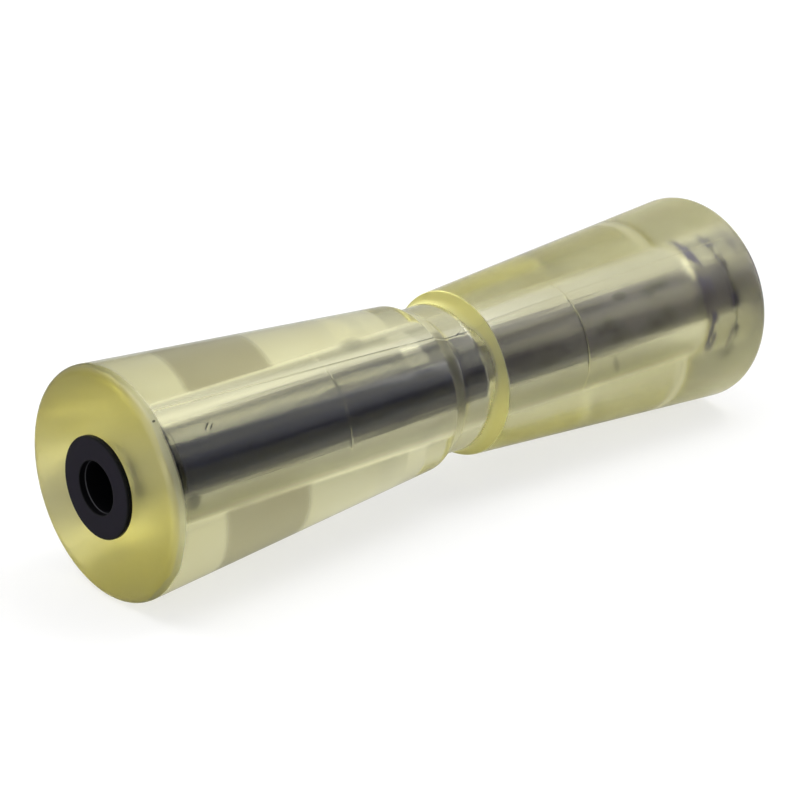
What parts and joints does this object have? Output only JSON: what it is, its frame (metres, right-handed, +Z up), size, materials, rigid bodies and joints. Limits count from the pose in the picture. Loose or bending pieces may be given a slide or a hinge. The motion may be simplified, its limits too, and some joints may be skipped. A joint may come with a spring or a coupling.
{
  "type": "boat trailer roller",
  "caption": "Clear pale yellow keel roller for a boat trailer, waisted to a keel groove at its middle, on a core tube with black flanged shaft bushes.",
  "frame": {"origin": "middle of the roller, on its axis, halfway between the two end faces", "axes": "+Y along the roller's axis to the right-hand bush, +Z up, +X across; the roller keeps the frame that it has on its horizontal shaft"},
  "size_m": [0.0846, 0.3042, 0.0847],
  "materials": {
    "clear_body": "clear pale yellow-green flexible plastic, glossy, with fine scuffs",
    "core": "dark extruded plastic tube seen through the clear body, satin, with long extrusion lines",
    "bush": "black nylon, satin"
  },
  "bodies": {
    "root": {"roller_body": "clear_body", "core_tube": "core", "left_bush": "bush", "right_bush": "bush"}
  },
  "joints": []
}
